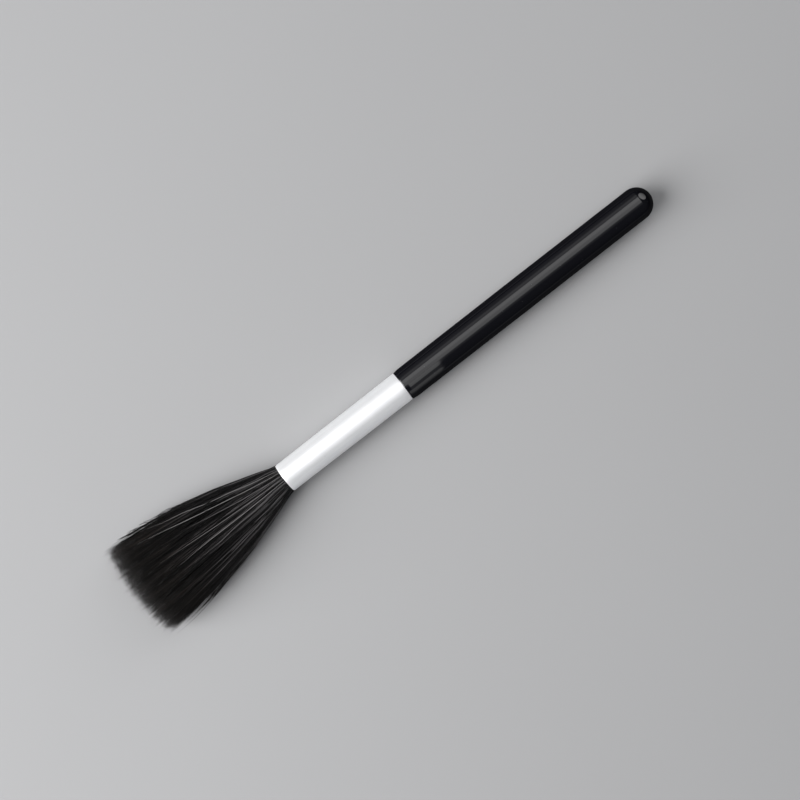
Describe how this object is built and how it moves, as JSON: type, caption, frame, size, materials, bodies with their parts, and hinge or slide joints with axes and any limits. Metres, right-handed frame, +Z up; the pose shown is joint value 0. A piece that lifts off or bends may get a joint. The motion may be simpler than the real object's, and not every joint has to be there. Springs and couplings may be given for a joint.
{
  "type": "neck duster brush",
  "caption": "Slim neck duster brush: round lacquered wooden handle, tapered aluminium ferrule and a soft flared head of dark hair that splays.",
  "frame": {"origin": "on the floor under the middle of the brush's whole length, with the brush lying on its side", "axes": "+X along the brush from the handle's butt to the ends of the hair, +Z up from the floor, +Y to the left of the hair seen from the butt"},
  "size_m": [0.2, 0.0304, 0.0159],
  "materials": {
    "handle_wood": "matte",
    "black_lacquer": "gloss",
    "glue": "satin",
    "ferrule_aluminium": "satin",
    "dark_hair": "satin",
    "root_resin": "gloss",
    "binding_thread": "matte"
  },
  "bodies": {
    "brush": {"handle_core": "handle_wood", "tenon_glue": "glue", "hair_root": "dark_hair", "root_resin": "root_resin", "binding_thread": "binding_thread", "handle_lacquer": "black_lacquer", "ferrule": "ferrule_aluminium", "hair_core": "dark_hair"},
    "lock_01": {"hair_lock_01": "dark_hair"},
    "lock_02": {"hair_lock_02": "dark_hair"},
    "lock_03": {"hair_lock_03": "dark_hair"},
    "lock_04": {"hair_lock_04": "dark_hair"},
    "lock_05": {"hair_lock_05": "dark_hair"},
    "lock_06": {"hair_lock_06": "dark_hair"},
    "lock_07": {"hair_lock_07": "dark_hair"},
    "lock_08": {"hair_lock_08": "dark_hair"},
    "lock_09": {"hair_lock_09": "dark_hair"},
    "lock_10": {"hair_lock_10": "dark_hair"}
  },
  "joints": [
    {"name": "lock_01_splay", "type": "hinge", "parent": "brush", "child": "lock_01", "pos_m": [0.0432, 0, 0.00975], "axis": [0, -1, 0], "range_deg": [0, 20], "stiffness_Nm_per_rad": 0.004},
    {"name": "lock_02_splay", "type": "hinge", "parent": "brush", "child": "lock_02", "pos_m": [0.0432, -0.00262, 0.0089], "axis": [0, -0.809, -0.5878], "range_deg": [0, 20], "stiffness_Nm_per_rad": 0.004},
    {"name": "lock_03_splay", "type": "hinge", "parent": "brush", "child": "lock_03", "pos_m": [0.0432, -0.00423, 0.00668], "axis": [0, -0.309, -0.9511], "range_deg": [0, 20], "stiffness_Nm_per_rad": 0.004},
    {"name": "lock_04_splay", "type": "hinge", "parent": "brush", "child": "lock_04", "pos_m": [0.0432, -0.00423, 0.00392], "axis": [0, 0.309, -0.9511], "range_deg": [0, 20], "stiffness_Nm_per_rad": 0.004},
    {"name": "lock_05_splay", "type": "hinge", "parent": "brush", "child": "lock_05", "pos_m": [0.0432, -0.00262, 0.0017], "axis": [0, 0.809, -0.5878], "range_deg": [0, 20], "stiffness_Nm_per_rad": 0.004},
    {"name": "lock_06_splay", "type": "hinge", "parent": "brush", "child": "lock_06", "pos_m": [0.0432, 0, 0.00085], "axis": [0, 1, 0], "range_deg": [0, 20], "stiffness_Nm_per_rad": 0.004},
    {"name": "lock_07_splay", "type": "hinge", "parent": "brush", "child": "lock_07", "pos_m": [0.0432, 0.00262, 0.0017], "axis": [0, 0.809, 0.5878], "range_deg": [0, 20], "stiffness_Nm_per_rad": 0.004},
    {"name": "lock_08_splay", "type": "hinge", "parent": "brush", "child": "lock_08", "pos_m": [0.0432, 0.00423, 0.00392], "axis": [0, 0.309, 0.9511], "range_deg": [0, 20], "stiffness_Nm_per_rad": 0.004},
    {"name": "lock_09_splay", "type": "hinge", "parent": "brush", "child": "lock_09", "pos_m": [0.0432, 0.00423, 0.00668], "axis": [0, -0.309, 0.9511], "range_deg": [0, 20], "stiffness_Nm_per_rad": 0.004},
    {"name": "lock_10_splay", "type": "hinge", "parent": "brush", "child": "lock_10", "pos_m": [0.0432, 0.00262, 0.0089], "axis": [0, -0.809, 0.5878], "range_deg": [0, 20], "stiffness_Nm_per_rad": 0.004}
  ]
}
